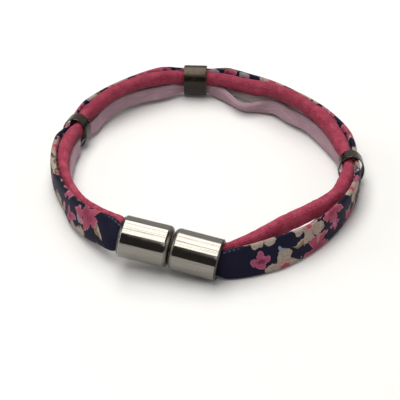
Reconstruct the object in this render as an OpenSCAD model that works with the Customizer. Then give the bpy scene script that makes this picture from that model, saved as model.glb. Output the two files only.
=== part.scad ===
// Magnetic bracelet: three strands that go once round the wrist, gathered by three ring sliders and
// held in the two caps of a magnetic clasp. It stands on its edge on a flat surface, in millimetres,
// with Z up, the clasp in front along X, and the origin on the surface under the middle of its box.

/* [Clasp] */
// Outer diameter of both caps
cap_d = 8.4; // [8.2:0.1:8.4]
// Thickness of the caps' wall round the strands
cap_wall = 0.7; // [0.6:0.05:0.7]
// Length of the left cap
cap_left_l = 10.2; // [10:0.1:10.3]
// Length of the right cap
cap_right_l = 9.8; // [9.6:0.1:10]
// Radius of the rounded shoulder where the caps meet
cap_shoulder = 1.1; // [0.6:0.1:1.3]
// Length of the solid end that holds the magnet
cap_floor = 3.2; // [2:0.1:3.6]
// How far the clasp drops towards its right mouth, in degrees
cap_pitch = 7.4; // [7:0.1:7.4]

/* [Strands] */
// Height of the floral band
band_tall = 6.9; // [6.6:0.1:6.9]
// Thickness of the floral band
band_thick = 1.5; // [1.3:0.1:1.5]
// Height of the suede lace
lace_tall = 3; // [2.8:0.1:3]
// Thickness of the suede lace
lace_thick = 1.2; // [0.9:0.1:1.2]

/* [Sliders] */
// Outer width of the oval ring sliders, across the strands
slider_wide = 5.5; // [5.5:0.1:5.8]
// Outer height of the sliders
slider_tall = 7; // [6.9:0.1:7]
// Thickness of the ring sliders' wall
slider_wall = 0.3; // [0.2:0.05:0.3]
// Length of the back slider
slider_back_l = 5; // [4:0.1:5]
// Length of the two side sliders
slider_side_l = 2.9; // [2.6:0.1:3]

/* [Hidden] */
$fn = 64;

// The loop's middle, from the origin
loop_mid = [-0.3, 0.9, 0];

// Middle of each cap's mating face, from the loop's middle, and its heading in plan, in degrees
cap_left_at = [0.4, -31.05, 5.42];
cap_left_heading = 0.4;
cap_right_at = [0.62, -31.1, 5.43];
cap_right_heading = -1.2;
// Bevel of each mouth: along the cap, and inwards
cap_left_bevel = [0.6, 0.5];
cap_right_bevel = [0.25, 0.2];

// Every station below is given by its angle round the loop, from +X towards the back.
// A route or gap table has one row for each station, and its columns are these.
ANGLE = 0;
REACH = 1;
HEIGHT = 2;
LEAN = 3;
TALL = 4;
THICK = 5;

// Route of the band: angle, radius of its middle, height of its middle, outward lean of its top
band_rows = [
    [-79, 32.6, 4.55, 0], [-75, 33.15, 4.25, 0], [-71, 33.75, 3.9, 0], [-65, 33.45, 3.65, -8],
    [-57, 33.1, 3.6, -14], [-51, 32.9, 3.6, -17], [-45, 32.75, 3.55, -12], [-36, 32.55, 3.5, -4],
    [-23, 32.15, 3.5, 0], [-8, 32, 3.5, 4], [3, 31.95, 3.5, 2], [11, 31.45, 3.63, 0],
    [27, 31.15, 3.5, 0], [42, 30.5, 3.5, 0], [62, 29.95, 3.6, 0], [75, 30.4, 3.65, 0],
    [85, 30.95, 3.65, 0], [96, 32.3, 3.7, 0], [107, 32.95, 3.9, 0], [114, 33.4, 3.85, 0],
    [121, 33.25, 3.7, 0], [135, 32.45, 3.55, 0], [152, 31.95, 3.5, 0], [161, 31.95, 3.55, 0],
    [169, 30.95, 3.7, 0], [176, 31.2, 3.6, 0], [183, 31.45, 3.55, 0], [193, 31.35, 3.5, 0],
    [204, 31.05, 3.55, 3], [216, 30.85, 3.75, 2], [226, 31.4, 4.25, -6], [236, 31.9, 5.05, -10],
    [244, 32.45, 6.05, -13], [249, 32.85, 6.45, -17], [253, 33.1, 6.64, -7], [256, 32.75, 6.5, 0],
    [258, 32.3, 6.3, 0]
];

// Cord: angle, clear gap to the band's inner face, height of its middle, lean, and its own height and
// thickness, as it is flattened more in some places
cord_rows = [
    [-79, 0.3, 5.95, 0, 2.9, 2.2], [-75, 0.3, 6, 0, 2.9, 2.2], [-71, 0.15, 5.85, 0, 2.7, 1.8],
    [-64, 0.8, 5.6, 0, 3.1, 2.2], [-52, 2.1, 5.75, -10, 3.4, 2.3], [-40, 2.95, 5.45, -15, 3.4, 2.5],
    [-28, 2.2, 5.25, -10, 3.4, 2.5], [-14, 0.6, 5.2, 0, 3.2, 2.5], [0, 0.3, 4.95, 0, 3, 2.6],
    [11, 0.2, 4.75, 0, 2.9, 2.6], [27, 0.1, 5.35, 0, 3.2, 2.8], [40, 0.1, 6.1, 0, 3.2, 2.6],
    [50, 0.1, 6.45, 0, 3, 2.6], [62, 0.1, 6.75, 0, 2.9, 2.6], [72, 0.1, 6.35, 0, 2.9, 2.5],
    [80, 0.1, 5.5, 0, 3.3, 2.5], [86, 0.1, 5.15, 0, 3.1, 2.4], [96, 0.1, 5.05, 0, 2.8, 2.4],
    [102, 0.2, 4.9, 0, 2.8, 2.3], [107, 0.2, 4.8, 0, 2.9, 2.3], [112, 0.2, 4.95, 0, 2.9, 2.3],
    [116, 0.1, 5.35, 0, 2.8, 2.3], [121, 0.1, 5.8, 0, 2.8, 2.4], [131, 0.1, 6.4, 0, 2.7, 2.4],
    [141, 0.1, 6.55, 0, 2.7, 2.4], [150, 0.1, 6.3, 0, 2.8, 2.4], [156, 0.1, 5.65, 0, 2.9, 2.4],
    [169, 0.15, 4.87, 0, 2.9, 2.4], [176, 0.1, 5.2, 0, 2.9, 2.4], [183, 0.1, 5.4, 0, 3, 2.4],
    [193, 0.1, 5.4, 0, 3, 2.3], [204, 0.1, 5.25, 0, 3, 1.8], [216, 0.1, 5.05, 0, 2.9, 1.7],
    [226, 0.2, 5.65, 0, 2.9, 1.9], [236, 0.35, 6.5, 0, 2.9, 2], [244, 0.5, 7.35, -4, 2.8, 2],
    [249, 0.6, 7.85, -5, 2.8, 1.95], [253, 0.3, 8.18, 0, 2.8, 1.95], [256, 0.15, 8, 0, 2.8, 2],
    [258, 0.15, 7.8, 0, 2.8, 2]
];

// Lace: angle, clear gap to the band's inner face, height of its middle, lean
lace_rows = [
    [-79, 0.3, 3, 0], [-75, 0.3, 2.7, 0], [-71, 0.4, 2.5, 0], [-60, 1.2, 1.75, 0], [-45, 2, 1.7, 0],
    [-28, 1.8, 1.7, 0], [-14, 1.2, 1.72, 0], [0, 0.6, 1.78, -4], [11, 0.5, 2.1, -2], [22, 1.2, 2.03, 0],
    [30, 1.6, 2.22, 10], [40, 1.5, 2.4, 18], [50, 1.25, 2.5, 22], [60, 1.45, 2.4, 26], [69, 1, 2.5, 14],
    [77, 2.2, 1.8, -18], [84, 3.65, 1.65, -38], [91, 2.7, 1.9, -22], [97.6, 1, 2.1, 0],
    [102, 0.4, 2.25, 0], [106.65, 0.3, 2.3, 0], [115, 0.7, 2.3, 6], [121, 1.2, 2.4, 14],
    [131, 0.6, 2.6, 12], [141, 0.5, 2.9, 12], [152, 0.9, 2.5, 12], [160, 1.95, 2.2, 8],
    [169, 0.4, 2.15, 0], [176, 1.8, 2.3, 0], [183, 1.9, 2.6, 8], [192, 1.9, 2.5, 6],
    [204, 1.1, 2.05, 0], [215, 0.5, 1.8, 0], [226, 0.4, 2.2, 0], [236, 0.4, 3, 0], [245, 0.25, 4.3, 0],
    [251, 0.2, 5.25, 0], [255, 0.2, 5.15, 0], [258, 0.2, 4.9, 0]
];

// Sliders: angle, how far inside the band's middle, height, how far the top tips forwards round the
// loop, length
left_slider = [168.5, 1, 3.63, -6, slider_side_l];
back_slider = [106.65, 1, 3.85, 0, slider_back_l];
right_slider = [11, 1.1, 3.63, 6, slider_side_l];
TIP = 3;
LENGTH = 4;

// Size of each strand, tall and thick, where a slider squeezes it and inside the caps
band_in_slider = [4.9, 1.2];
band_in_cap = [6, 1.4];
cord_in_slider = [2.6, 2.05];
cord_in_cap = [2.5, 1.8];
lace_in_slider = [2.2, 1.1];
lace_in_cap = [2.4, 1.1];
// Angles over which a strand is held in a slider, and eases to its full size past a slider or a cap
slider_hold = 4.5;
band_ease = 10;
lace_ease = 6;
cap_ease = 3;
mouth_right = -72;
mouth_left = 253;

// Roundness of the sections: 2 is an ellipse, and a high power is a rectangle
band_power = 3;
cord_power = 2.3;
lace_power = 6;
band_sides = 14;
cord_sides = 12;
lace_sides = 12;
ring_step = 3.4;
oval_sides = 60;

// Smooth 0 to 1 ramp
function ease(t) = let (c = min(max(t, 0), 1)) c * c * (3 - 2 * c);

// Row of the table whose span holds an angle
function span(rows, a, i = 0) =
    i >= len(rows) - 2 || a < rows[i + 1][ANGLE] ? i : span(rows, a, i + 1);

// Slope of a column at a row, from its neighbours
function slope(rows, i, col) =
    let (lo = max(i - 1, 0), hi = min(i + 1, len(rows) - 1))
    (rows[hi][col] - rows[lo][col]) / (rows[hi][ANGLE] - rows[lo][ANGLE]);

// Value of a column at an angle, on a smooth curve through the rows
function value(rows, a, col) =
    let (
        i = span(rows, a),
        w = rows[i + 1][ANGLE] - rows[i][ANGLE],
        t = (a - rows[i][ANGLE]) / w,
        m0 = slope(rows, i, col) * w,
        m1 = slope(rows, i + 1, col) * w
    )
    rows[i][col] * (1 - t) * (1 - t) * (1 + 2 * t) + m0 * t * (1 - t) * (1 - t)
        + rows[i + 1][col] * t * t * (3 - 2 * t) - m1 * t * t * (1 - t);

// How far a strand is squeezed at an angle: by the nearest slider, and by a cap
function in_slider(a, over) =
    max([for (s = [left_slider, back_slider, right_slider]) 1 - ease((abs(a - s[ANGLE]) - slider_hold) / over)]);
function in_cap(a) = ease((max(mouth_right - a, a - mouth_left) + cap_ease) / cap_ease);

// Section size, tall and thick, of a strand at an angle
function section(full, slid, capped, over, a) =
    full + (slid - full) * in_slider(a, over) + (capped - full) * in_cap(a);
function band_size(a) = section([band_tall, band_thick], band_in_slider, band_in_cap, band_ease, a);
function cord_size(a) =
    section([value(cord_rows, a, TALL), value(cord_rows, a, THICK)], cord_in_slider, cord_in_cap, lace_ease, a);
function lace_size(a) = section([lace_tall, lace_thick], lace_in_slider, lace_in_cap, lace_ease, a);

// Middle of each strand at an angle
function polar(a, r, z) = [r * cos(a), r * sin(a), z];
function band_at(a) = polar(a, value(band_rows, a, REACH), value(band_rows, a, HEIGHT));
function inside_band(rows, size, a) =
    polar(a, value(band_rows, a, REACH) - band_size(a)[1] / 2 - value(rows, a, REACH) - size[1] / 2,
          value(rows, a, HEIGHT));
function cord_at(a) = inside_band(cord_rows, cord_size(a), a);
function lace_at(a) = inside_band(lace_rows, lace_size(a), a);

// One point on a rounded rectangle, as wide across and tall as size says
function rounded(v, power) = sign(v) * pow(abs(v), 2 / power);
function outline_point(size, t, power) =
    [size[1] / 2 * rounded(cos(t), power), size[0] / 2 * rounded(sin(t), power)];

// Ring of points round a strand, square to its path
function ring(mid, ahead, size, lean, sides, power) =
    let (
        along = (ahead - mid) / norm(ahead - mid),
        out = cross(along, [0, 0, 1]) / norm(cross(along, [0, 0, 1])),
        up = cross(out, along)
    )
    [for (k = [0:sides - 1])
        let (
            p = outline_point(size, 360 * (k + 0.5) / sides, power),
            x = p[0] * cos(lean) + p[1] * sin(lean),
            z = p[1] * cos(lean) - p[0] * sin(lean)
        )
        mid + out * x + up * z];

// Closed solid through a list of rings
module sweep(rings) {
    n = len(rings[0]);
    last = len(rings) - 1;
    points = [for (r = rings) each r];
    sides = [for (i = [0:last - 1], k = [0:n - 1])
        let (a = i * n + k, b = i * n + (k + 1) % n)
        each [[a, b, a + n], [b, b + n, a + n]]];
    ends = [for (k = [1:n - 2]) each [[0, k + 1, k], [last * n, last * n + k, last * n + k + 1]]];
    polyhedron(points = points, faces = concat(sides, ends));
}

// Angles of a strand's rings, from inside the right cap to inside the left one
function stations(rows) =
    let (first = rows[0][ANGLE], last = rows[len(rows) - 1][ANGLE], n = ceil((last - first) / ring_step))
    [for (i = [0:n]) first + (last - first) * i / n];

module floral_band() {
    color("midnightblue") translate(loop_mid)
        sweep([for (a = stations(band_rows))
            ring(band_at(a), band_at(a + 0.1), band_size(a), value(band_rows, a, LEAN), band_sides, band_power)]);
}

module raspberry_cord() {
    color("crimson") translate(loop_mid)
        sweep([for (a = stations(cord_rows))
            ring(cord_at(a), cord_at(a + 0.1), cord_size(a), value(cord_rows, a, LEAN), cord_sides, cord_power)]);
}

module suede_lace() {
    color("rosybrown") translate(loop_mid)
        sweep([for (a = stations(lace_rows))
            ring(lace_at(a), lace_at(a + 0.1), lace_size(a), value(lace_rows, a, LEAN), lace_sides, lace_power)]);
}

// Half section of a cap, from the mating face at 0 to its mouth at its length
module cap_profile(length, bevel) {
    r = cap_d / 2;
    bore_r = r - cap_wall;
    difference() {
        union() {
            translate([0, cap_shoulder]) square([r, length - bevel[0] - cap_shoulder]);
            square([r - cap_shoulder, length]);
            translate([r - cap_shoulder, cap_shoulder]) circle(r = cap_shoulder);
            polygon([[0, length - bevel[0]], [r, length - bevel[0]], [r - bevel[1], length], [0, length]]);
        }
        translate([0, cap_floor]) square([bore_r, length]);
    }
}

// A cap along X from its mating face, towards -X for a side of -1 and +X for 1
module cap(at, heading, side, length, bevel) {
    translate(loop_mid + at) rotate([0, 0, heading]) rotate([0, cap_pitch, 0]) rotate([0, side * 90, 0])
        rotate_extrude() cap_profile(length, bevel);
}

module clasp_cap_left() {
    color("silver") cap(cap_left_at, cap_left_heading, -1, cap_left_l, cap_left_bevel);
}

module clasp_cap_right() {
    color("gainsboro") cap(cap_right_at, cap_right_heading, 1, cap_right_l, cap_right_bevel);
}

// Outline of an oval, by its half width and half height
function oval(wide, tall) =
    [for (k = [0:oval_sides - 1]) let (t = 360 * k / oval_sides) [wide * cos(t), tall * sin(t)]];

// An oval ring round the strands, along the band's direction
module slider(row) {
    a = row[ANGLE];
    along = band_at(a + 1) - band_at(a - 1);
    translate(loop_mid + polar(a, value(band_rows, a, REACH) - row[REACH], row[HEIGHT]))
        rotate([90 + row[TIP], 0, 90 + atan2(along[1], along[0])])
            translate([0, 0, -row[LENGTH] / 2]) linear_extrude(row[LENGTH]) difference() {
                polygon(oval(slider_wide / 2, slider_tall / 2));
                polygon(oval(slider_wide / 2 - slider_wall, slider_tall / 2 - slider_wall));
            }
}

module slider_left() {
    color("darkolivegreen") slider(left_slider);
}

module slider_back() {
    color("olive") slider(back_slider);
}

module slider_right() {
    color("darkkhaki") slider(right_slider);
}

clasp_cap_left();
clasp_cap_right();
floral_band();
raspberry_cord();
suede_lace();
slider_left();
slider_back();
slider_right();
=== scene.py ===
import math

import bpy
import numpy as np
from mathutils import Matrix, Vector


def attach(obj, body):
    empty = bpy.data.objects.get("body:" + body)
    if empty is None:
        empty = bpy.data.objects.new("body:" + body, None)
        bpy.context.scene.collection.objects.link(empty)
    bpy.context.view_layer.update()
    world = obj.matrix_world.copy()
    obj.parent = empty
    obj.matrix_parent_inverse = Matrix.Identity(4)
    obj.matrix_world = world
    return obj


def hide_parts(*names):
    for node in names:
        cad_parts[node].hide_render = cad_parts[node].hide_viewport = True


# The looks of the magnetic bracelet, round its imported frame. Sizes are millimetres and angles
# degrees, and sizes become metres when a mesh is made. Studio places and sizes are metres.

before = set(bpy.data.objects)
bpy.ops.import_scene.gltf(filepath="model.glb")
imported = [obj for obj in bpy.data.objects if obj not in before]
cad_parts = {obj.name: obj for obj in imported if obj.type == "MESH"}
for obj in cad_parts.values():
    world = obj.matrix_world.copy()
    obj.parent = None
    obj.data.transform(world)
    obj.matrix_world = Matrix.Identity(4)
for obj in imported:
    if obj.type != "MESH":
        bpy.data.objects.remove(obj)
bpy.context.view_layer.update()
mm = 0.001
fullTurn = 2 * math.pi
print("frame loaded:", ", ".join(sorted(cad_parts)))


# node trees, for materials and Geometry Nodes alike

class Wire:
    # An output socket of a node tree. Sums and products on it add Math nodes.
    def __init__(self, tree, socket):
        self.tree, self.socket = tree, socket

    @staticmethod
    def add(tree, kind, settings=None, inputs=None, output=0):
        # any node: its settings come first, then the values or wires of its sockets
        node = tree.nodes.new(kind)
        for key, value in (settings or {}).items():
            setattr(node, key, value)
        for key, value in (inputs or {}).items():
            if isinstance(value, Wire):
                tree.links.new(value.socket, node.inputs[key])
            else:
                node.inputs[key].default_value = value
        return Wire(tree, node.outputs[output])

    def math(self, operation, *others):
        wires = dict(enumerate((self, *others)))
        return Wire.add(self.tree, "ShaderNodeMath", {"operation": operation}, wires)

    def reflected(self, operation, first):
        # the same with this socket second
        return Wire.add(self.tree, "ShaderNodeMath", {"operation": operation}, {0: first, 1: self})

    def out(self, name):
        # another output of the same node
        return Wire(self.tree, self.socket.node.outputs[name])

    def __add__(self, other):
        return self.math("ADD", other)

    def __sub__(self, other):
        return self.math("SUBTRACT", other)

    def __rsub__(self, other):
        return self.reflected("SUBTRACT", other)

    def __mul__(self, other):
        return self.math("MULTIPLY", other)

    def __truediv__(self, other):
        return self.math("DIVIDE", other)

    def __rtruediv__(self, other):
        return self.reflected("DIVIDE", other)

    def __pow__(self, other):
        return self.math("POWER", other)

    def __abs__(self):
        return self.math("ABSOLUTE")

    __radd__, __rmul__ = __add__, __mul__

    def ramp(self, low, high):
        # smooth 0 to 1 as this goes from low to high
        return Wire.add(self.tree, "ShaderNodeMapRange", {"interpolation_type": "SMOOTHSTEP"},
                        {"Value": self, "From Min": low, "From Max": high})


def mixColour(factor, first, second, blend="MIX"):
    settings = {"data_type": "RGBA", "blend_type": blend, "clamp_factor": True}
    sides = {6: first if isinstance(first, Wire) else (*first, 1),
             7: second if isinstance(second, Wire) else (*second, 1)}
    return Wire.add(factor.tree, "ShaderNodeMix", settings, {0: factor, **sides}, 2)


def brighter(colour, times):
    return tuple(tint * times for tint in colour)


def noise(vector, scale, detail=3.0, roughness=0.5):
    return Wire.add(vector.tree, "ShaderNodeTexNoise", {},
                    {"Vector": vector, "Scale": scale, "Detail": detail, "Roughness": roughness})


def stretched(vector, x, y):
    return Wire.add(vector.tree, "ShaderNodeMapping", {}, {"Vector": vector, "Scale": (x, y, 1.0)})


def parts(vector):
    split = Wire.add(vector.tree, "ShaderNodeSeparateXYZ", {}, {0: vector})
    return split, split.out("Y"), split.out("Z")


def surfaceUv(tree):
    # millimetres along and round the piece, so noise scales on it are per millimetre
    return Wire.add(tree, "ShaderNodeUVMap", {"uv_map": "surface"})


def objectPlace(tree):
    # metres in the shared frame, so noise scales on it are per metre
    return Wire.add(tree, "ShaderNodeTexCoord").out("Object")


def carried(tree, name, output="Vector"):
    # a value that the mesh carries
    return Wire.add(tree, "ShaderNodeAttribute", {"attribute_name": name}, output=output)


def startMaterial(name):
    material = bpy.data.materials.new(name)
    material.use_nodes = True
    return material, material.node_tree


def finishMaterial(material, settings, height=None, bump=None):
    # settings go on the shader's own sockets; bump is its strength and depth
    tree = material.node_tree
    shader = tree.nodes["Principled BSDF"]
    for key, value in settings.items():
        if isinstance(value, Wire):
            tree.links.new(value.socket, shader.inputs[key])
        else:
            shader.inputs[key].default_value = (*value, 1) if isinstance(value, tuple) else value
    if bump:
        strength, depth = bump
        normal = Wire.add(tree, "ShaderNodeBump", {},
                          {"Height": height, "Strength": strength, "Distance": depth * mm})
        tree.links.new(normal.socket, shader.inputs["Normal"])
    return material


def newTree(name, sizes):
    # a Geometry Nodes tree with named sizes
    tree = bpy.data.node_groups.new(name, "GeometryNodeTree")
    face = tree.interface
    face.new_socket("Geometry", in_out="INPUT", socket_type="NodeSocketGeometry")
    for key, value in sizes.items():
        kind = {int: "NodeSocketInt", float: "NodeSocketFloat"}.get(type(value), "NodeSocketMaterial")
        socket = face.new_socket(key, in_out="INPUT", socket_type=kind)
        if kind != "NodeSocketMaterial":
            socket.default_value = value
    face.new_socket("Geometry", in_out="OUTPUT", socket_type="NodeSocketGeometry")
    return tree, Wire.add(tree, "NodeGroupInput")


def endTree(tree, given, shape):
    solid = Wire.add(tree, "GeometryNodeRealizeInstances", {}, {0: shape})
    coated = Wire.add(tree, "GeometryNodeSetMaterial", {},
                      {"Geometry": solid, "Material": given.out("material")})
    end = tree.nodes.new("NodeGroupOutput")
    tree.links.new(coated.socket, end.inputs[0])
    return tree


def setPlace(shape, x, y, z):
    place = Wire.add(shape.tree, "ShaderNodeCombineXYZ", {}, {"X": x, "Y": y, "Z": z})
    return Wire.add(shape.tree, "GeometryNodeSetPosition", {}, {"Geometry": shape, "Position": place})


def squareGrid(tree, across, along):
    # a grid whose X and Y run from 0 to 1
    grid = Wire.add(tree, "GeometryNodeMeshGrid", {},
                    {"Size X": 1.0, "Size Y": 1.0, "Vertices X": across, "Vertices Y": along})
    x, y, _ = parts(Wire.add(tree, "GeometryNodeInputPosition"))
    return grid, x + 0.5, y + 0.5


def welded(shape, distance):
    return Wire.add(shape.tree, "GeometryNodeMergeByDistance", {},
                    {"Geometry": shape, "Distance": distance})


# meshes and pieces

def link(item):
    bpy.context.scene.collection.objects.link(item)
    return item


def readAll(items, name, width=1, kind=np.int32):
    values = np.zeros(len(items) * width, kind)
    items.foreach_get(name, values)
    return values.reshape(-1, width) if width > 1 else values


def vertexPlaces(mesh):
    return readAll(mesh.vertices, "co", 3, np.float32)


def openLine(name, places):
    # a mesh of edges from each place to the next
    mesh = bpy.data.meshes.new(name)
    mesh.from_pydata(places, [(i, i + 1) for i in range(len(places) - 1)], [])
    return mesh


def grown(name, tree, base, sizes):
    # the mesh that a tree makes from a base mesh and these sizes, as a plain mesh
    seed = link(bpy.data.objects.new(name + "Seed", base))
    modifier = seed.modifiers.new("grow", "NODES")
    modifier.node_group = tree
    for item in tree.interface.items_tree:
        if item.in_out == "INPUT" and item.name in sizes:
            modifier[item.identifier] = sizes[item.name]
    bpy.context.view_layer.update()
    made = seed.evaluated_get(bpy.context.evaluated_depsgraph_get())
    mesh = bpy.data.meshes.new_from_object(made)
    mesh.name = name
    seed.modifiers.remove(modifier)
    bpy.data.objects.remove(seed)
    return mesh


def volume(mesh):
    mesh.calc_loop_triangles()
    corners = readAll(mesh.loop_triangles, "vertices", 3)
    a, b, c = vertexPlaces(mesh).astype(float)[corners].transpose(1, 0, 2)
    return np.einsum("ij,ij->i", a, np.cross(b, c)).sum() / 6


def finishMesh(name, mesh, material):
    # the object of a closed mesh, with its faces outwards
    if volume(mesh) < 0:
        mesh.flip_normals()
    mesh.shade_smooth()
    mesh.materials.clear()
    mesh.materials.append(material)
    return link(bpy.data.objects.new(name, mesh))


def dress(piece, slotName, *nodes):
    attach(piece, "root")
    if nodes:
        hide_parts(*nodes)
    print(piece.name, len(piece.data.polygons), "faces")


def gridMesh(name, points, along, around, material, corners=None):
    # a closed tube of rings [station, round, xyz] in metres, with a fan on each end; corners
    # gives the values that the tube's corners carry, each from the corners' places on the surface
    n, m = points.shape[:2]
    ids = np.arange(n * m).reshape(n, m)
    nextIds = np.roll(ids, -1, axis=1)
    quads = np.stack([ids[:-1], ids[1:], nextIds[1:], nextIds[:-1]], -1).reshape(-1, 4)
    tips = [[n * m, ids[0, k], nextIds[0, k]] for k in range(m)]
    tips += [[n * m + 1, nextIds[-1, k], ids[-1, k]] for k in range(m)]
    vertices = np.concatenate([points.reshape(-1, 3), [points[0].mean(0), points[-1].mean(0)]])
    mesh = bpy.data.meshes.new(name)
    mesh.from_pydata(vertices.tolist(), [], quads.tolist() + tips)
    flat = np.stack(np.broadcast_arrays(along[:, None], around[None]), -1)
    uvs = np.stack([flat[:-1, :-1], flat[1:, :-1], flat[1:, 1:], flat[:-1, 1:]], 2).reshape(-1, 2)
    layer = mesh.uv_layers.new(name="surface")
    allUvs = np.zeros((len(mesh.loops), 2), np.float32)
    allUvs[:len(uvs)] = uvs
    layer.data.foreach_set("uv", allUvs.ravel())
    for key, values in (corners or {}).items():
        attribute = mesh.attributes.new(key, "FLOAT_VECTOR", "CORNER")
        full = np.zeros((len(mesh.loops), 3), np.float32)
        full[:len(uvs)] = values(uvs)
        attribute.data.foreach_set("vector", full.ravel())
    return finishMesh(name, mesh, material)


# camera, at the photograph's angle

view = {"aim": (0.43, -6.63, 0.0), "azimuth": 13.1, "elevation": 36.6, "distance": 395.0,
        "lens": 172.35, "sensor": 36, "sees": (0.01, 10)}


def makeCamera():
    turn, rise = math.radians(view["azimuth"]), math.radians(view["elevation"])
    away = Vector((math.sin(turn) * math.cos(rise), -math.cos(turn) * math.cos(rise), math.sin(rise)))
    camera = link(bpy.data.objects.new("camera", bpy.data.cameras.new("camera")))
    camera.data.lens, camera.data.sensor_width = view["lens"], view["sensor"]
    camera.data.clip_start, camera.data.clip_end = view["sees"]
    camera.location = Vector(view["aim"]) * mm + away * view["distance"] * mm
    camera.rotation_euler = away.to_track_quat("Z", "Y").to_euler()
    bpy.context.scene.camera = camera


makeCamera()


# curves through tables

tableColumns = {"radius": 1, "gap": 1, "height": 2, "lean": 3, "tall": 4, "thick": 5}


def ease(t):
    c = np.clip(t, 0, 1)
    return c * c * (3 - 2 * c)


def column(rows, a, name):
    # a table's column at the angles a, on a smooth curve through its rows
    table = np.array(rows, float)
    key, value = table[:, 0], table[:, tableColumns[name]]
    i = np.clip(np.searchsorted(key, a, "right") - 1, 0, len(key) - 2)
    w = key[i + 1] - key[i]
    t = (a - key[i]) / w

    def slope(j):
        lo, hi = np.maximum(j - 1, 0), np.minimum(j + 1, len(key) - 1)
        return (value[hi] - value[lo]) / (key[hi] - key[lo])

    return (value[i] * (1 - t) ** 2 * (1 + 2 * t) + slope(i) * w * t * (1 - t) ** 2
            + value[i + 1] * t * t * (3 - 2 * t) - slope(i + 1) * w * t * t * (1 - t))


# the three strands' routes, which repeat the source's tables

loopMid = np.array([-0.3, 0.9, 0.0])

# band: angle round the loop, radius of its middle, height of its middle, outward lean of its top
bandRows = [
    (-79, 32.6, 4.55, 0), (-75, 33.15, 4.25, 0), (-71, 33.75, 3.9, 0), (-65, 33.45, 3.65, -8),
    (-57, 33.1, 3.6, -14), (-51, 32.9, 3.6, -17), (-45, 32.75, 3.55, -12), (-36, 32.55, 3.5, -4),
    (-23, 32.15, 3.5, 0), (-8, 32, 3.5, 4), (3, 31.95, 3.5, 2), (11, 31.45, 3.63, 0),
    (27, 31.15, 3.5, 0), (42, 30.5, 3.5, 0), (62, 29.95, 3.6, 0), (75, 30.4, 3.65, 0),
    (85, 30.95, 3.65, 0), (96, 32.3, 3.7, 0), (107, 32.95, 3.9, 0), (114, 33.4, 3.85, 0),
    (121, 33.25, 3.7, 0), (135, 32.45, 3.55, 0), (152, 31.95, 3.5, 0), (161, 31.95, 3.55, 0),
    (169, 30.95, 3.7, 0), (176, 31.2, 3.6, 0), (183, 31.45, 3.55, 0), (193, 31.35, 3.5, 0),
    (204, 31.05, 3.55, 3), (216, 30.85, 3.75, 2), (226, 31.4, 4.25, -6), (236, 31.9, 5.05, -10),
    (244, 32.45, 6.05, -13), (249, 32.85, 6.45, -17), (253, 33.1, 6.64, -7), (256, 32.75, 6.5, 0),
    (258, 32.3, 6.3, 0)]

# cord and lace: angle, clear gap to the band's inner face, height of the middle, outward lean;
# the cord's rows go on with how tall and thick it is there
cordRows = [
    (-79, 0.3, 5.95, 0, 2.9, 2.2), (-75, 0.3, 6, 0, 2.9, 2.2), (-71, 0.15, 5.85, 0, 2.7, 1.8),
    (-64, 0.8, 5.6, 0, 3.1, 2.2), (-52, 2.1, 5.75, -10, 3.4, 2.3), (-40, 2.95, 5.45, -15, 3.4, 2.5),
    (-28, 2.2, 5.25, -10, 3.4, 2.5), (-14, 0.6, 5.2, 0, 3.2, 2.5), (0, 0.3, 4.95, 0, 3, 2.6),
    (11, 0.2, 4.75, 0, 2.9, 2.6), (27, 0.1, 5.35, 0, 3.2, 2.8), (40, 0.1, 6.1, 0, 3.2, 2.6),
    (50, 0.1, 6.45, 0, 3, 2.6), (62, 0.1, 6.75, 0, 2.9, 2.6), (72, 0.1, 6.35, 0, 2.9, 2.5),
    (80, 0.1, 5.5, 0, 3.3, 2.5), (86, 0.1, 5.15, 0, 3.1, 2.4), (96, 0.1, 5.05, 0, 2.8, 2.4),
    (102, 0.2, 4.9, 0, 2.8, 2.3), (107, 0.2, 4.8, 0, 2.9, 2.3), (112, 0.2, 4.95, 0, 2.9, 2.3),
    (116, 0.1, 5.35, 0, 2.8, 2.3), (121, 0.1, 5.8, 0, 2.8, 2.4), (131, 0.1, 6.4, 0, 2.7, 2.4),
    (141, 0.1, 6.55, 0, 2.7, 2.4), (150, 0.1, 6.3, 0, 2.8, 2.4), (156, 0.1, 5.65, 0, 2.9, 2.4),
    (169, 0.15, 4.87, 0, 2.9, 2.4), (176, 0.1, 5.2, 0, 2.9, 2.4), (183, 0.1, 5.4, 0, 3, 2.4),
    (193, 0.1, 5.4, 0, 3, 2.3), (204, 0.1, 5.25, 0, 3, 1.8), (216, 0.1, 5.05, 0, 2.9, 1.7),
    (226, 0.2, 5.65, 0, 2.9, 1.9), (236, 0.35, 6.5, 0, 2.9, 2), (244, 0.5, 7.35, -4, 2.8, 2),
    (249, 0.6, 7.85, -5, 2.8, 1.95), (253, 0.3, 8.18, 0, 2.8, 1.95), (256, 0.15, 8, 0, 2.8, 2),
    (258, 0.15, 7.8, 0, 2.8, 2)]
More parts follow.
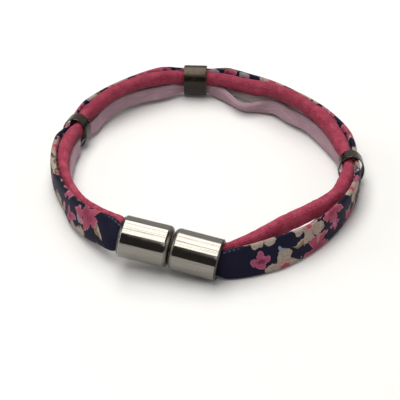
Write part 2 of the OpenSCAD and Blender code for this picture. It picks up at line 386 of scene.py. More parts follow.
laceRows = [
    (-79, 0.3, 3, 0), (-75, 0.3, 2.7, 0), (-71, 0.4, 2.5, 0), (-60, 1.2, 1.75, 0), (-45, 2, 1.7, 0),
    (-28, 1.8, 1.7, 0), (-14, 1.2, 1.72, 0), (0, 0.6, 1.78, -4), (11, 0.5, 2.1, -2), (22, 1.2, 2.03, 0),
    (30, 1.6, 2.22, 10), (40, 1.5, 2.4, 18), (50, 1.25, 2.5, 22), (60, 1.45, 2.4, 26), (69, 1, 2.5, 14),
    (77, 2.2, 1.8, -18), (84, 3.65, 1.65, -38), (91, 2.7, 1.9, -22), (97.6, 1, 2.1, 0),
    (102, 0.4, 2.25, 0), (106.65, 0.3, 2.3, 0), (115, 0.7, 2.3, 6), (121, 1.2, 2.4, 14),
    (131, 0.6, 2.6, 12), (141, 0.5, 2.9, 12), (152, 0.9, 2.5, 12), (160, 1.95, 2.2, 8),
    (169, 0.4, 2.15, 0), (176, 1.8, 2.3, 0), (183, 1.9, 2.6, 8), (192, 1.9, 2.5, 6),
    (204, 1.1, 2.05, 0), (215, 0.5, 1.8, 0), (226, 0.4, 2.2, 0), (236, 0.4, 3, 0), (245, 0.25, 4.3, 0),
    (251, 0.2, 5.25, 0), (255, 0.2, 5.15, 0), (258, 0.2, 4.9, 0)]

# tall and thick: free, in a slider and in a cap; degrees over which it eases; the section's
# power, from 2 for an ellipse up towards a box
bandShape = {"free": (6.9, 1.5), "inSlider": (4.9, 1.2), "inCap": (6.0, 1.4), "ease": 10, "power": 3}
cordShape = {"free": cordRows, "inSlider": (2.6, 2.05), "inCap": (2.5, 1.8), "ease": 6, "power": 2.3}
laceShape = {"free": (3.0, 1.2), "inSlider": (2.2, 1.1), "inCap": (2.4, 1.1), "ease": 6, "power": 6}

# angle round the loop, how far in from the band's middle, height, tip and length
sliders = {
    "sliderLeft": {"node": "slider_left", "angle": 168.5, "inside": 1.0, "height": 3.63,
                   "tip": -6, "length": 2.9},
    "sliderBack": {"node": "slider_back", "angle": 106.65, "inside": 1.0, "height": 3.85,
                   "tip": 0, "length": 5.0},
    "sliderRight": {"node": "slider_right", "angle": 11.0, "inside": 1.1, "height": 3.63,
                    "tip": 6, "length": 2.9}}
# degrees that a slider holds on each side of its middle, and a cap before its mouth
hold = {"slider": 4.5, "cap": 3, "mouthRight": -72, "mouthLeft": 253}
# steps of the fine copies of a route and of a section, and degrees to look ahead
sampling = {"route": 4000, "section": 1441, "ahead": 0.1}


def inSlider(a, over):
    away = [abs(a - s["angle"]) - hold["slider"] for s in sliders.values()]
    return np.max([1 - ease(gap / over) for gap in away], axis=0)


def inCap(a):
    beyond = np.maximum(hold["mouthRight"] - a, a - hold["mouthLeft"])
    return ease((beyond + hold["cap"]) / hold["cap"])


def sizeAt(shape, a):
    free, slid, capped = (np.array(shape[k]) for k in ("free", "inSlider", "inCap"))
    if free.ndim > 1:  # a table that gives its own height and thickness at each angle
        free = np.stack([column(free, a, "tall"), column(free, a, "thick")], -1)
    squeezed = (slid - free) * inSlider(a, shape["ease"])[:, None]
    return free + squeezed + (capped - free) * inCap(a)[:, None]


def polar(a, r, z):
    t = np.radians(a)
    return np.stack([r * np.cos(t), r * np.sin(t), z], -1)


def bandMiddle(a):
    return polar(a, column(bandRows, a, "radius"), column(bandRows, a, "height"))


def strandMiddle(rows, shape, a):
    if rows is bandRows:
        return bandMiddle(a)
    innerFace = column(bandRows, a, "radius") - sizeAt(bandShape, a)[:, 1] / 2
    reach = innerFace - column(rows, a, "gap") - sizeAt(shape, a)[:, 1] / 2
    return polar(a, reach, column(rows, a, "height"))


def unit(vectors):
    return vectors / np.linalg.norm(vectors, axis=-1)[..., None]


def section(thick, tall, t, bend):
    # across and up from the middle of a section with rounded corners
    sides = (thick, np.cos), (tall, np.sin)
    return [size / 2 * np.sign(wave(t)) * abs(wave(t)) ** bend for size, wave in sides]


def strandRings(rows, shape, spacing, count):
    # rings evenly spaced along the strand, each evenly spaced round its section
    fine = np.linspace(rows[0][0], rows[-1][0], sampling["route"])
    steps = np.linalg.norm(np.diff(strandMiddle(rows, shape, fine), axis=0), axis=1)
    run = np.append(0, np.cumsum(steps))
    stations = int(run[-1] / spacing) + 1
    along = np.linspace(0, run[-1], stations)
    a = np.interp(along, run, fine)
    mid = strandMiddle(rows, shape, a)
    ahead = unit(strandMiddle(rows, shape, a + sampling["ahead"]) - mid)
    out = unit(np.cross(ahead, [0, 0, 1]))
    up = np.cross(out, ahead)
    lean = np.radians(column(rows, a, "lean"))[:, None]
    size = sizeAt(shape, a)
    t = np.linspace(-math.pi, math.pi, sampling["section"])
    bend = 2 / shape["power"]
    share = np.linspace(0, 1, count, endpoint=False)
    across, high = np.zeros((2, stations, count))
    for i, (tall, thick) in enumerate(size):
        x, z = section(thick, tall, t, bend)
        walk = np.append(0, np.cumsum(np.hypot(np.diff(x), np.diff(z))))
        across[i], high[i] = section(thick, tall, np.interp(share * walk[-1], walk, t), bend)
    x = across * np.cos(lean) + high * np.sin(lean)
    z = high * np.cos(lean) - across * np.sin(lean)
    points = mid[:, None] + out[:, None] * x[..., None] + up[:, None] * z[..., None]
    tall, thick = size.max(axis=0)
    x, z = section(thick, tall, t, bend)
    girth = np.hypot(np.diff(x), np.diff(z)).sum()
    around = (np.linspace(0, 1, count + 1) - 0.5) * girth
    return {"points": points, "along": along, "around": around, "angle": a}


def sunk(rings, depth):
    # the rings with their surface pressed in by depth [station, round]
    points = rings["points"]
    side = np.roll(points, -1, axis=1) - np.roll(points, 1, axis=1)
    outward = unit(np.cross(side, np.gradient(points, axis=0)))
    return points - outward * depth[..., None]


def wander(seed, along, around, reach, count=9):
    # soft seeded unevenness from about -1 to 1, along and round a strand: a sum of waves
    # whose lengths spread round the reach, evened out to that range
    dice = np.random.default_rng(seed)
    total = np.zeros((len(along), len(around)))
    turns = fullTurn * np.arange(len(around)) / len(around)
    for _ in range(count):
        pace = dice.uniform(0.5, 1.5) * fullTurn / reach
        laps = dice.integers(-4, 5)
        total += np.sin(pace * along[:, None] + laps * turns[None] + dice.uniform(0, 6.28))
    return total / count * 1.6


def placed(points):
    return (points + loopMid) * mm


# floral band: printed cotton folded round a flat pad, with a pale lining between its hems

band = {
    "spacing": 0.3, "count": 64, "hems": (0.25, 1.2), "hemStep": 0.25, "liningDepth": 0.1,
    "gather": 0.05, "gatherPitch": 1.15, "uneven": 0.035, "unevenSeed": 3, "unevenReach": 14,
    "seed": 2, "jitter": (0.22, 0.2), "bloomPitch": 9.0, "bloomRadius": (3.4, 4.6),
    "bloomKinds": (0.40, 0.34, 0.26), "sprigPitch": 4.8, "sprigRadius": (1.6, 2.7),
    "sprigKinds": (0.42, 0.30, 0.28), "plain": 3.6, "weave": 26, "bump": (0.35, 0.06),
    "ink": {
        "navy": (0.0090, 0.0082, 0.0235), "bark": (0.07, 0.042, 0.026),
        "petalShade": (0.20, 0.14, 0.105), "cream": (0.345, 0.285, 0.24),
        "blush": (0.38, 0.165, 0.19), "blueGrey": (0.22, 0.24, 0.28), "rose": (0.31, 0.066, 0.128),
        "roseDeep": (0.18, 0.024, 0.055), "roseEdge": (0.39, 0.15, 0.215),
        "coral": (0.34, 0.06, 0.083), "ochre": (0.22, 0.145, 0.075),
        "foldShine": (0.085, 0.095, 0.13), "worn": (0.5, 0.45, 0.45),
        "lining": (0.90, 0.80, 0.79)}}
ink = band["ink"]

bandRings = strandRings(bandRows, bandShape, band["spacing"], band["count"])
bandGirth = bandRings["around"][-1] * 2
bandLength = bandRings["along"][-1]
across = bandRings["around"][:-1]
# a ring starts at the middle of the inner face, and across is 0 at the middle of the outer one
fromMiddle = abs(across)
# the lining starts past a hem on each side, the lower hem first
lowerAt, upperAt = (bandGirth / 2 - bandShape["free"][0] / 2 + hem for hem in band["hems"])
lining = ease((fromMiddle - np.where(across < 0, lowerAt, upperAt)) / band["hemStep"])
# gathers stand where the band is being squeezed
squeeze = inSlider(bandRings["angle"], bandShape["ease"])[:, None]
pleats = 0.5 + 0.5 * np.sin(fullTurn * fromMiddle / band["gatherPitch"])[None]
uneven = 0.5 + 0.5 * wander(band["unevenSeed"], bandRings["along"], across, band["unevenReach"])
bandDepth = (band["liningDepth"] * lining[None] + band["gather"] * pleats * squeeze * (1 - squeeze) * 4
             + band["uneven"] * uneven)
# how far along the band the caps' mouths are
mouths = np.interp((hold["mouthRight"], hold["mouthLeft"]), bandRings["angle"], bandRings["along"])


def scatter(seed, pitch, radii, kinds):
    # places of printed motifs on the flat fabric: along, across, radius, turn, kind
    dice = np.random.default_rng(seed)
    lanes = max(1, round(bandGirth / pitch))
    farAlong, farAcross = band["jitter"]
    found = []
    for i in range(int(bandLength / pitch) + 2):
        for j in range(lanes):
            x = (i + 0.5 * (j % 2)) * pitch + dice.uniform(-farAlong, farAlong) * pitch
            y = (j + 0.5) * bandGirth / lanes - bandGirth / 2 + dice.uniform(-farAcross, farAcross) * pitch
            motif = (x, y, dice.uniform(*radii), dice.uniform(0, 6.28), dice.choice(len(kinds), p=kinds))
            # the fabric is plain beside the clasp, and a large motif keeps further off
            if min(abs(x - mouths)) > band["plain"] + motif[2] * 0.4:
                found.append(motif)
    return np.array(found)


def motifCorners(motifs):
    # each face's nearest motif gives its corners their place in that motif, and the kind
    def values(uvs):
        middle = uvs.reshape(-1, 4, 2).mean(1)
        away = middle[:, None] - motifs[None, :, :2]
        near = np.argmin(np.hypot(away[..., 0], away[..., 1]) / motifs[None, :, 2], axis=1)
        chosen = np.repeat(motifs[near], 4, axis=0)
        gap = (uvs - chosen[:, :2]) / chosen[:, 2:3]
        c, s = np.cos(chosen[:, 3]), np.sin(chosen[:, 3])
        return np.stack([gap[:, 0] * c - gap[:, 1] * s, gap[:, 0] * s + gap[:, 1] * c, chosen[:, 4]], -1)
    return values


def isKind(kind, number):
    # kinds are whole numbers, so anything within 0.4 is the same
    return kind.math("COMPARE", float(number), 0.4)


def drawSprigs(x, y, kind, colour):
    # small motifs, drawn in shares of their radius: a flower, a leaf on a stem and a bud
    out = (x * x + y * y) ** 0.5
    petal = abs((y.math("ARCTAN2", x) * 2.0).math("COSINE"))
    flowerEdge = 0.40 + 0.50 * petal ** 1.4 - out
    flower = mixColour(flowerEdge.ramp(0.05, 0.16), ink["roseEdge"], ink["rose"])
    flower = mixColour((0.34 - out).ramp(0, 0.2), flower, ink["roseDeep"])
    leafLine = y - 0.34 * x * x + 0.12
    leafEdge = 0.36 * (1 - x * x) - abs(leafLine)
    leaf = mixColour(leafLine.ramp(-0.06, 0.08), ink["ochre"], ink["cream"])
    leaf = mixColour((0.07 - abs(leafLine)).ramp(0, 0.04) * (0.5 - x).ramp(0, 0.6), leaf, ink["bark"])
    budX = x + 0.1
    budEdge = 1 - budX * budX * 1.5 - y * y * 5.0 - budX * y * y * 3
    bud = mixColour(budX.ramp(-0.5, 0.2), ink["blueGrey"], ink["blush"])
    colour = mixColour(flowerEdge.ramp(0, 0.07) * isKind(kind, 0), colour, flower)
    colour = mixColour(leafEdge.ramp(0, 0.06) * isKind(kind, 1), colour, leaf)
    return mixColour(budEdge.ramp(0, 0.25) * isKind(kind, 2), colour, bud)


def drawBlooms(x, y, kind, tone, colour):
    # large motifs: open pale blossoms, narrow-petalled pink ones and broad leaves
    out = (x * x + y * y) ** 0.5
    turn = y.math("ARCTAN2", x)
    petal = abs((turn * 2.5).math("COSINE"))
    streaks = 0.5 + 0.5 * (turn * 23 + tone * 9).math("SINE")
    paleEdge = 0.50 + 0.44 * petal ** 0.75 - out
    pale = mixColour(tone.ramp(0.42, 0.62) * 0.55, ink["cream"], ink["petalShade"])
    pale = mixColour((0.16 - petal).ramp(0, 0.12) * (0.75 - out).ramp(0, 0.3), pale, ink["petalShade"])
    pale = mixColour(streaks * (0.62 - out).ramp(0, 0.35) * 0.7, pale, ink["blush"])
    pale = mixColour((0.24 - out).ramp(0, 0.05), pale, ink["coral"])
    pinkEdge = 0.34 + 0.60 * petal ** 1.5 - out
    pink = mixColour(tone.ramp(0.4, 0.6), ink["rose"], ink["coral"])
    pink = mixColour(pinkEdge.ramp(0.04, 0.14), ink["roseEdge"], pink)
    pink = mixColour((streaks * 0.7 + 0.3) * (0.55 - out).ramp(0, 0.4), pink, ink["roseDeep"])
    bladeLine = y - 0.30 * x * x + 0.14
    bladeEdge = 0.42 * (1 - x * x * 1.1) - abs(bladeLine)
    blade = mixColour((bladeLine + (tone - 0.5) * 0.5).ramp(-0.1, 0.1), ink["ochre"], ink["cream"])
    blade = mixColour((0.06 - abs(bladeLine)).ramp(0, 0.04), blade, ink["bark"])
    blade = mixColour((-0.12 - bladeLine).ramp(-0.05, 0.16), blade, ink["bark"])
    colour = mixColour(paleEdge.ramp(0, 0.04) * isKind(kind, 0), colour, pale)
    colour = mixColour(pinkEdge.ramp(0, 0.04) * isKind(kind, 1), colour, pink)
    return mixColour(bladeEdge.ramp(0, 0.04) * isKind(kind, 2), colour, blade)


def makePrint():
    material, tree = startMaterial("printedCotton")
    place = surfaceUv(tree)
    along, over, _ = parts(place)
    bloomX, bloomY, bloomKind = parts(carried(tree, "bloom"))
    sprigX, sprigY, sprigKind = parts(carried(tree, "sprig"))

    # outlines are brush-drawn and uneven: a slow sway and a quick shake
    swayX, swayY, _ = (part - 0.5 for part in parts(noise(place, 0.42, 2.0).out("Color")))
    shakeX, shakeY, tone = parts(noise(place, 1.5, 3.0, 0.6).out("Color"))
    shakeX, shakeY = shakeX - 0.5, shakeY - 0.5
    colour = drawSprigs(sprigX + swayY * 1.2 + shakeX * 0.2, sprigY + swayX * 1.2 + shakeY * 0.2,
                        sprigKind, ink["navy"])
    colour = drawBlooms(bloomX + swayX * 0.9 + shakeX * 0.1, bloomY + swayY * 0.9 + shakeY * 0.1,
                        bloomKind, tone, colour)

    # painted highlight: the folded top edge shines in short dashes on the last millimetres before the
    # clasp
    foldAt, foldHalf = 3.4, 0.34
    besideClasp = (abs(along - mouths.mean()) - (mouths[1] - mouths[0]) / 2).ramp(-4.5, -2.5)
    dashes = (along * 6.4 + tone * 5).math("SINE").ramp(-0.9, 0.9)
    fold = (foldHalf - abs(over - foldAt)).ramp(0, 0.3) * dashes
    colour = mixColour(besideClasp * fold * 0.6, colour, ink["foldShine"])

    # worn and uneven dye, then the lining between the hems
    dye = noise(place, 1.3, 4.0).ramp(0.3, 0.7)
    colour = mixColour(dye * 0.15, colour, ink["worn"], "SOFT_LIGHT")
    hemEnd = 0.02
    lined = ((over - (upperAt + hemEnd)).ramp(0, 0.06)
             + (over * -1 - (lowerAt + hemEnd)).ramp(0, 0.06))
    felt = noise(place, 6.0, 5.0, 0.7)
    liningColour = mixColour(felt.ramp(0.3, 0.75), ink["lining"], brighter(ink["lining"], 1.06))
    colour = mixColour(lined, colour, liningColour)

    threads = (along * band["weave"]).math("SINE") * (over * band["weave"]).math("SINE")
    height = threads * 0.5 * (1 - lined) + felt * lined + noise(place, 2.2) * 1.5
    rough = 0.42 + 0.18 * noise(place, 3.0) + 0.3 * lined
    settings = {"Base Color": colour, "Roughness": rough, "Specular IOR Level": 0.06}
    return finishMaterial(material, settings, height, band["bump"])


blooms = scatter(band["seed"], band["bloomPitch"], band["bloomRadius"], band["bloomKinds"])
sprigs = scatter(band["seed"] + 1, band["sprigPitch"], band["sprigRadius"], band["sprigKinds"])
floralBand = gridMesh("floralBand", placed(sunk(bandRings, bandDepth)), bandRings["along"],
                      bandRings["around"], makePrint(),
                      {"bloom": motifCorners(blooms), "sprig": motifCorners(sprigs)})
dress(floralBand, "print", "floral_band")


# hem stitches, laid along the upper hem of the band

stitch = {
    "pitch": 1.6, "long": 1.05, "thick": 0.2, "inset": 0.4, "sunk": 0.05, "fibre": 5200.0,
    "dark": (0.012, 0.013, 0.03), "pale": (0.03, 0.03, 0.055), "bump": (0.5, 0.03)}


def makeThread():
    material, tree = startMaterial("hemThread")
    strands = noise(objectPlace(tree), stitch["fibre"])
    colour = mixColour(strands.ramp(0.35, 0.65), stitch["dark"], stitch["pale"])
    settings = {"Base Color": colour, "Roughness": 0.8, "Specular IOR Level": 0.12}
    return finishMaterial(material, settings, strands, stitch["bump"])


def stitchTree():
    # long beads set along a line, each turned to follow it
    tree, given = newTree("hemStitches", {"pitch": 0.0016, "long": 0.001, "thick": 0.0002,
                                          "material": None})
    path = Wire.add(tree, "GeometryNodeMeshToCurve", {}, {"Mesh": given.out("Geometry")})
    path = Wire.add(tree, "GeometryNodeResampleCurve", {"mode": "LENGTH"},
                    {"Curve": path, "Length": given.out("pitch")})
    bead = Wire.add(tree, "GeometryNodeMeshUVSphere", {}, {"Segments": 10, "Rings": 6, "Radius": 0.5})
    size = Wire.add(tree, "ShaderNodeCombineXYZ", {},
                    {"X": given.out("thick"), "Y": given.out("thick"), "Z": given.out("long")})
    bead = Wire.add(tree, "GeometryNodeTransform", {}, {"Geometry": bead, "Scale": size})
    heading = Wire.add(tree, "GeometryNodeInputTangent")
    turned = Wire.add(tree, "FunctionNodeAlignRotationToVector", {"axis": "Z"}, {"Vector": heading})
    row = Wire.add(tree, "GeometryNodeInstanceOnPoints", {},
                   {"Points": path, "Instance": bead, "Rotation": turned})
    return endTree(tree, given, row)


threadMaterial = makeThread()
seamAt = int(np.argmin(abs(across - (upperAt - stitch["inset"]))))
seamLine = sunk(bandRings, bandDepth + stitch["sunk"])[:, seamAt]
seam = grown("hemStitches", stitchTree(), openLine("seam", placed(seamLine).tolist()), {
    "pitch": stitch["pitch"] * mm, "long": stitch["long"] * mm, "thick": stitch["thick"] * mm,
    "material": threadMaterial})
dress(finishMesh("hemStitches", seam, threadMaterial), "print")


# raspberry cord: a flattened tube of fine knit

# the deep colour is also painted shade in the knit's valleys, dimples, underside and back, and the pale
# colour also paints the highlights on the crest and the glints
knit = {
    "spacing": 0.168, "columns": 10, "perColumn": 8, "pitch": 1.25, "slant": 0.9, "depth": 0.1,
    "uneven": 0.22, "raised": 0.08, "seeds": (21, 22), "bump": (0.6, 0.08),
    "colour": (0.38, 0.034, 0.075), "deepToneAndShade": (0.12, 0.011, 0.025), "pale": (0.57, 0.10, 0.165),
    "sheen": (0.9, 0.5, 0.6)}

cordRings = strandRings(cordRows, cordShape, knit["spacing"], knit["columns"] * knit["perColumn"])
columnAt = np.arange(knit["columns"] * knit["perColumn"]) / knit["perColumn"]
# each column of the knit is a row of legs that slant out from its middle on both sides
fromRib = abs(columnAt % 1 - 0.5)[None]
legs = (cordRings["along"][:, None] / knit["pitch"] - knit["slant"] * 2 * fromRib) % 1


def halfRound(t):
    return np.sqrt(np.clip(1 - t ** 2, 0, 1))


legHigh = halfRound(2 * legs - 1) * halfRound(4 * fromRib - 1)
fineUneven, broadUneven = (wander(seed, cordRings["along"], columnAt, reach, count)
                           for seed, reach, count in zip(knit["seeds"], (2.4, 7), (26, 9)))
cordUneven = 0.5 + 0.35 * fineUneven + 0.15 * broadUneven
cordDepth = knit["depth"] * (1 - legHigh) + knit["uneven"] * cordUneven - knit["raised"]


def makeKnit():
    material, tree = startMaterial("raspberryKnit")
    place, where = surfaceUv(tree), objectPlace(tree)
    along, over, _ = parts(place)
    halfGirth = cordRings["around"][-1]
    # 20 is added to keep what the fractions are taken of above 0
    rib = abs((over / (halfGirth * 2) * knit["columns"] + 20).math("FRACT") - 0.5)
    leg = (along / knit["pitch"] - rib * (knit["slant"] * 2) + 20).math("FRACT")
    tops = ((1 - (leg * 2 - 1) ** 2) * (1 - (rib * 4 - 1) ** 2)).ramp(0, 0.55)
    fuzz = noise(stretched(place, 3.0, 9.0), 2.0, 5.0, 0.65)
    dimples = noise(place, 1.5, 2.0).ramp(0.36, 0.46)
    glints = noise(stretched(place, 0.4, 3.0), 1.1, 2.0).ramp(0.56, 0.72)
    cloud = noise(where, 500.0).ramp(0.35, 0.7)
    broad = noise(where, 150.0, 2.0).ramp(0.48, 0.68)
    # painted highlight on the section's crest, and painted shade on its inner lower side
    turn = over * (math.pi / halfGirth)
    crestHighlight = turn.math("SINE").ramp(0.35, 0.95)
    undersideShade = turn.math("SINE").ramp(0, -0.9) * turn.math("COSINE").ramp(0.1, -0.5)
    # painted shade: the whole cord is a little darker towards the back and the left
    x, y, _ = parts(where)
    backLeftShade = (y - 0.45 * x).ramp(-0.010, 0.034)
    # painted shade: the valleys between the legs take the deep colour
    colour = mixColour(tops * 0.6 + 0.3 * fuzz + 0.1, knit["deepToneAndShade"], knit["colour"])
    colour = mixColour(cloud * 0.36 + crestHighlight * 0.08, colour, knit["pale"])
    # painted shade: darker spots in the sunk dimples
    colour = mixColour((1 - dimples) * (0.36 - backLeftShade * 0.16), colour, knit["deepToneAndShade"])
    colour = mixColour(broad * 0.2 + undersideShade * 0.3 + backLeftShade * 0.26, colour, knit["deepToneAndShade"])
    colour = mixColour(glints * tops * 0.5, colour, knit["pale"])
    plies = (along * 18 + rib * 40).math("SINE")
    settings = {
        "Base Color": colour, "Roughness": 0.78 + 0.14 * fuzz, "Sheen Weight": 0.1,
        "Sheen Roughness": 0.5, "Sheen Tint": knit["sheen"], "Specular IOR Level": 0.25}
    return finishMaterial(material, settings, plies * 0.3 + fuzz * 1.2 + dimples * 1.2, knit["bump"])


raspberryCord = gridMesh("raspberryCord", placed(sunk(cordRings, cordDepth)), cordRings["along"],
                         cordRings["around"], makeKnit())
dress(raspberryCord, "raspberry", "raspberry_cord")


# suede lace: a cut strip with a napped face

lace = {
    "spacing": 0.3, "count": 48, "uneven": 0.03, "seed": 5, "reach": 3, "waves": 16,
    "colour": (0.37, 0.24, 0.285), "dark": (0.275, 0.168, 0.205), "pale": (0.46, 0.335, 0.38),
    "sheen": (0.95, 0.8, 0.85), "bump": (0.6, 0.07)}

laceRings = strandRings(laceRows, laceShape, lace["spacing"], lace["count"])
laceUneven = 0.5 + 0.5 * wander(lace["seed"], laceRings["along"], laceRings["around"][:-1],
                                lace["reach"], lace["waves"])


def makeSuede():
    material, tree = startMaterial("pinkSuede")
    place = surfaceUv(tree)
    nap = noise(stretched(place, 1.0, 1.6), 5.5, 6.0, 0.72)
    brushed = noise(stretched(place, 0.25, 1.0), 1.1, 4.0, 0.6)
    colour = mixColour(nap.ramp(0.32, 0.68), lace["dark"], lace["colour"])
    colour = mixColour(brushed.ramp(0.45, 0.75) * 0.6, colour, lace["pale"])
    settings = {
        "Base Color": colour, "Roughness": 0.86 + 0.12 * nap, "Sheen Weight": 0.2,
        "Sheen Roughness": 0.45, "Sheen Tint": lace["sheen"], "Specular IOR Level": 0.2}
    return finishMaterial(material, settings, nap * 1.3 + noise(place, 16.0, 2.0) * 0.5, lace["bump"])


suedeLace = gridMesh("suedeLace", placed(sunk(laceRings, lace["uneven"] * laceUneven)),
                     laceRings["along"], laceRings["around"], makeSuede())
dress(suedeLace, "suede", "suede_lace")


# clasp caps: turned, polished and plated

caps = {
    "capLeft": {"node": "clasp_cap_left", "at": (0.4, -31.05, 5.42), "heading": 0.4, "side": -1,
                "length": 10.2, "bevel": (0.6, 0.5)},
    "capRight": {"node": "clasp_cap_right", "at": (0.62, -31.1, 5.43), "heading": -1.2, "side": 1,
                 "length": 9.8, "bevel": (0.25, 0.2)}}
turning = {
    "radius": 4.2, "wall": 0.7, "shoulder": 1.1, "floor": 3.2, "pitch": 7.4, "sides": 192,
    "magnetRadius": 2.3, "magnetSunk": 0.12, "rim": 0.06, "plating": (0.262, 0.250, 0.228),
    "worn": (0.165, 0.152, 0.132), "rimPaintedReflection": (0.085, 0.075, 0.066), "bump": (0.12, 0.04)}


def arc(x, r, radius, start, end, count):
    # points of an arc in the profile, along the axis and out from it
    return [(x + radius * math.cos(math.radians(t)), r + radius * math.sin(math.radians(t)))
            for t in np.linspace(start, end, count)]


def capProfile(cap):
    # along the axis and out from it: over the sunk magnet, up the mating face, round the
    # shoulder, along to the bevelled mouth, and down the bore to its floor; the small steps
    # beside the edges keep them crisp under smooth shading
    shoulder, floor, rim = turning["shoulder"], turning["floor"], turning["rim"]
    magnet, sunkBy = turning["magnetRadius"], turning["magnetSunk"]
    outer, inner = turning["radius"], turning["radius"] - turning["wall"]
    mouth, (bevelLong, bevelIn) = cap["length"], cap["bevel"]
    bevelAt, lip = mouth - bevelLong, outer - bevelIn
    profile = [(sunkBy, r) for r in np.linspace(0, magnet - 0.08, 8)]
    profile += [(sunkBy + 0.1, magnet - 0.05), (0.03, magnet), (0, magnet + 0.05)]
    profile += arc(shoulder, outer - shoulder, shoulder, 180, 90, 20)
    profile += [(x, outer) for x in np.linspace(shoulder, bevelAt - 0.15, 12)[1:]]
    profile += [(bevelAt - 0.06, outer - 0.004), (bevelAt + 0.04, outer - 0.024)]
    profile += [(bevelAt + (bevelLong - rim) * t, outer - 0.01 - bevelIn * t)
                for t in (0.12, 0.3, 0.5, 0.7, 0.9)]
    profile += arc(mouth - rim, max(lip - rim, inner + rim), rim, 70, -70, 7)
    profile += [(x, inner) for x in np.linspace(mouth - 2 * rim, floor + 0.3, 10)]
    profile += [(floor + 0.1, inner - 0.09), (floor, inner - 0.3)]
    profile += [(floor, r) for r in np.linspace(inner - 0.3, 0, 7)[1:]]
    return profile


def latheTree():
    # a profile, drawn along X and out from it, turned round the X axis
    tree, given = newTree("turnedProfile", {"points": 60, "sides": 96, "material": None})
    grid, s, t = squareGrid(tree, given.out("points"), given.out("sides") + 1)
    number = (s * (given.out("points") - 1)).math("ROUND")
    drawn = Wire.add(tree, "GeometryNodeInputPosition")
    picked = Wire.add(tree, "GeometryNodeSampleIndex", {"data_type": "FLOAT_VECTOR"},
                      {"Geometry": given.out("Geometry"), "Value": drawn, "Index": number})
    x, r, _ = parts(picked)
    angle = t * fullTurn
    turned = setPlace(grid, x, r * angle.math("COSINE"), r * angle.math("SINE"))
    return endTree(tree, given, welded(turned, 1e-7))


def axisUv(mesh, radius):
    # millimetres along the X axis and round it, with no jump inside a face
    layer = mesh.uv_layers.get("surface") or mesh.uv_layers.new(name="surface")
    at = vertexPlaces(mesh)
    corner = readAll(mesh.loops, "vertex_index")
    turn = np.arctan2(at[:, 2], at[:, 1])[corner]
    first, total = readAll(mesh.polygons, "loop_start"), readAll(mesh.polygons, "loop_total")
    lead = np.repeat(turn[first], total)
    turn = lead + (turn - lead + math.pi) % fullTurn - math.pi
    uv = np.stack([at[corner, 0] / mm, turn * radius], -1)
    layer.data.foreach_set("uv", uv.astype(np.float32).ravel())


def makeChrome():
    material, tree = startMaterial("polishedChrome")
    place = surfaceUv(tree)
    fromJoint, _, _ = parts(place)
    lines = noise(stretched(place, 0.06, 5.0), 1.0, 4.0, 0.6)
    brushing = noise(stretched(place, 7.0, 0.12), 1.0, 3.0, 0.6)
    smudge = noise(place, 0.45, 4.0, 0.6)
    specks = noise(place, 7.0, 2.0).ramp(0.66, 0.8)
    # the plating is darker and rougher on the shoulder at the joint, and the bevel at the mouth is rougher
    # and painted dark, a painted reflection of the dark band
    shoulder = (turning["shoulder"] - fromJoint).ramp(0, 0.6)
    rim = carried(tree, "toMouth", "Fac").ramp(0.42, 0.3)
    colour = mixColour(lines.ramp(0.50, 0.62) * 0.75, turning["plating"], turning["worn"])
    colour = mixColour(brushing.ramp(0.35, 0.7) * 0.25, colour, turning["worn"])
    colour = mixColour(shoulder * 0.8, colour, turning["worn"])
    colour = mixColour(rim, colour, turning["rimPaintedReflection"])
    rough = 0.085 + 0.05 * smudge.ramp(0.4, 0.75) + 0.06 * specks + 0.24 * shoulder + 0.25 * rim
    settings = {"Base Color": colour, "Metallic": 1.0, "Roughness": rough}
    return finishMaterial(material, settings, lines * 0.8 + smudge * 0.6 + brushing * 0.5, turning["bump"])


def turnedBy(angle, axis):
    return Matrix.Rotation(math.radians(angle), 4, axis)


def shift(point):
    return Matrix.Translation(Vector(placed(np.array(point))))


lathe, chrome = latheTree(), makeChrome()
for name, cap in caps.items():
    profile = capProfile(cap)
    drawing = openLine("capProfile", [(x * mm, r * mm, 0) for x, r in profile])
    turned = grown(name, lathe, drawing,
                   {"points": len(profile), "sides": turning["sides"], "material": chrome})
    axisUv(turned, turning["radius"])
    toMouth = turned.attributes.new("toMouth", "FLOAT", "POINT")
    toMouth.data.foreach_set("value", cap["length"] - vertexPlaces(turned)[:, 0] / mm)
    # its own side first, then the clasp's tip and heading
    facing = turnedBy(180 if cap["side"] < 0 else 0, "Z")
    tipped = turnedBy(cap["heading"], "Z") @ turnedBy(turning["pitch"], "Y")
    turned.transform(shift(cap["at"]) @ tipped @ facing)
    dress(finishMesh(name, turned, chrome), "chrome", cap["node"])


# sliders: oval rings of antique bronze

# the pairs ending in From are heights in metres, between which a painted reflection comes in
ring = {
    "wide": 5.5, "tall": 7.0, "wall": 0.3, "edge": 7.0, "sides": 160, "section": 56,
    "upperReflectionFrom": (0.0042, 0.0051), "lowerReflectionFrom": (0.0034, 0.0027), "upperReflectionAndPatina": (0.050, 0.040, 0.029),
    "dark": (0.028, 0.0235, 0.0225), "low": (0.037, 0.0315, 0.0305), "worn": (0.15, 0.12, 0.10),
    "bump": (0.25, 0.05)}


def ringTree():
    # a boxy wall section, swept round an oval about the X axis
    tree, given = newTree("ovalRing", {"wide": 0.006, "tall": 0.007, "wall": 0.0003, "long": 0.003,
                                       "edge": 8.0, "sides": 96, "section": 48, "material": None})
    grid, s, t = squareGrid(tree, given.out("section") + 1, given.out("sides") + 1)
    angle, lap = t * fullTurn, s * fullTurn
    power = 2.0 / given.out("edge")

    def squared(value):
        return value.math("SIGN") * abs(value) ** power

    x = squared(lap.math("COSINE")) * given.out("long") * 0.5
    lift = squared(lap.math("SINE")) * given.out("wall") * 0.5
    acrossHalf = (given.out("wide") - given.out("wall")) * 0.5 + lift
    tallHalf = (given.out("tall") - given.out("wall")) * 0.5 + lift
    shaped = setPlace(grid, x, acrossHalf * angle.math("COSINE"), tallHalf * angle.math("SINE"))
    return endTree(tree, given, welded(shaped, 1e-6))


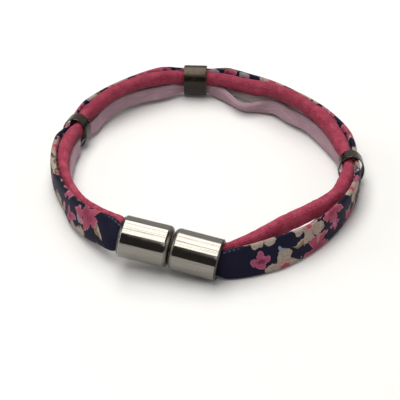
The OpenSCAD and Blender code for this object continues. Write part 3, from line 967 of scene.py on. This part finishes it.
def makeBronze():
    material, tree = startMaterial("antiqueBronze")
    place = surfaceUv(tree)
    endward, inside, _ = parts(carried(tree, "wear"))
    patina = noise(place, 0.7, 4.0, 0.55)
    grain = noise(stretched(place, 1.0, 0.25), 6.0, 4.0, 0.6)
    # painted reflections: the upper part is lighter brown, with a little patina in it, the middle is
    # darkest, and the lower part a little paler
    height = parts(objectPlace(tree))[2]
    upperReflectionAndPatina = height.ramp(*ring["upperReflectionFrom"]) * 0.85 + patina.ramp(0.38, 0.66) * 0.15
    colour = mixColour(upperReflectionAndPatina, ring["dark"], ring["upperReflectionAndPatina"])
    colour = mixColour(height.ramp(*ring["lowerReflectionFrom"]), colour, ring["low"])
    # the outer edges are worn to the metal, and the bore is dark
    worn = abs(endward).ramp(0.955, 0.995) * (0.35 + 0.65 * patina.ramp(0.3, 0.6)) * (1 - inside)
    colour = mixColour(worn, colour, ring["worn"])
    colour = mixColour(inside * 0.7, colour, brighter(ring["dark"], 0.4))
    settings = {"Base Color": colour, "Metallic": 0.92, "Roughness": 0.22 + 0.16 * patina.ramp(0.35, 0.7)}
    return finishMaterial(material, settings, grain + patina, ring["bump"])


def markWear(mesh, slider):
    # how far towards the ring's ends a point is, from -1 to 1, and whether it is on the inside
    x, y, z = vertexPlaces(mesh).T / mm
    out = np.hypot(y / (ring["wide"] - ring["wall"]), z / (ring["tall"] - ring["wall"]))
    wear = np.zeros((len(x), 3), np.float32)
    wear[:, 0] = x / (slider["length"] / 2)
    wear[:, 1] = out < 0.499
    mesh.attributes.new("wear", "FLOAT_VECTOR", "POINT").data.foreach_set("vector", wear.ravel())


rings, bronze = ringTree(), makeBronze()
for name, slider in sliders.items():
    made = grown(name, rings, bpy.data.meshes.new("empty"), {
        "wide": ring["wide"] * mm, "tall": ring["tall"] * mm, "wall": ring["wall"] * mm,
        "long": slider["length"] * mm, "edge": ring["edge"], "sides": ring["sides"],
        "section": ring["section"], "material": bronze})
    axisUv(made, (ring["wide"] + ring["tall"]) / 4)
    markWear(made, slider)
    before, here, after = bandMiddle(slider["angle"] + np.array([-1, 0, 1]))
    heading = math.degrees(math.atan2(*(after - before)[1::-1]))
    reach = math.hypot(here[0], here[1]) - slider["inside"]
    middle = polar(slider["angle"], reach, slider["height"])
    made.transform(shift(middle) @ turnedBy(heading, "Z") @ turnedBy(slider["tip"], "Y"))
    dress(finishMesh(name, made, bronze), "bronze", slider["node"])


# floor and soft light

overhead = {"size": (0.36, 0.27), "power": 1.35, "tint": (1, 0.985, 0.95)}
studio = {
    "overheadFront": {"at": (-0.10, -0.23, 0.50), **overhead},
    "overheadMiddle": {"at": (-0.10, 0.06, 0.50), **overhead},
    "overheadBack": {"at": (-0.10, 0.35, 0.50), **overhead},
    "behind": {"at": (0.0, 0.72, 0.31), "size": (1.3, 0.62), "power": 1.5, "tint": (1, 0.99, 0.97)},
    "left": {"at": (-0.8, -0.05, 0.35), "size": (0.6, 0.6), "power": 2.05, "tint": (1, 1, 1)},
    "right": {"at": (0.8, -0.1, 0.35), "size": (0.6, 0.6), "power": 1.75, "tint": (1, 1, 1)},
    "front": {"at": (0.25, -0.75, 0.75), "size": (0.5, 0.3), "power": 0.55, "tint": (1, 1, 1)}}
surround = (0.060, 0.054, 0.052)
ground = {"half": 0.6, "below": 0.00003, "colour": (0.80, 0.80, 0.795), "cloud": 40.0}


def makeFloor():
    half, low = ground["half"], -ground["below"]
    mesh = bpy.data.meshes.new("floor")
    mesh.from_pydata([(-half, -half, low), (half, -half, low), (half, half, low), (-half, half, low)],
                     [], [(0, 1, 2, 3)])
    material, tree = startMaterial("paleFloor")
    tone = noise(objectPlace(tree), ground["cloud"]).ramp(0.2, 0.8)
    colour = mixColour(tone, ground["colour"], brighter(ground["colour"], 1.02))
    finishMaterial(material, {"Base Color": colour, "Roughness": 0.75, "Specular IOR Level": 0.2})
    mesh.materials.append(material)
    link(bpy.data.objects.new("floor", mesh))


def makeLight(name, at, size, power, tint):
    lamp = bpy.data.lights.new(name, "AREA")
    lamp.shape, lamp.size, lamp.size_y = "RECTANGLE", *size
    lamp.energy, lamp.color = power, tint
    light = link(bpy.data.objects.new(name, lamp))
    light.location = at
    # overhead lights shine straight down, the others at the object
    away = Vector((0, 0, 1)) if name.startswith("overhead") else Vector(at)
    light.rotation_euler = away.to_track_quat("Z", "Y").to_euler()


makeFloor()
for name, light in studio.items():
    makeLight(name, **light)
world = bpy.data.worlds.new("studio")
world.use_nodes = True
world.node_tree.nodes["Background"].inputs["Color"].default_value = (*surround, 1)
bpy.context.scene.world = world
bpy.context.scene.view_settings.view_transform = "Standard"
print("studio ready")
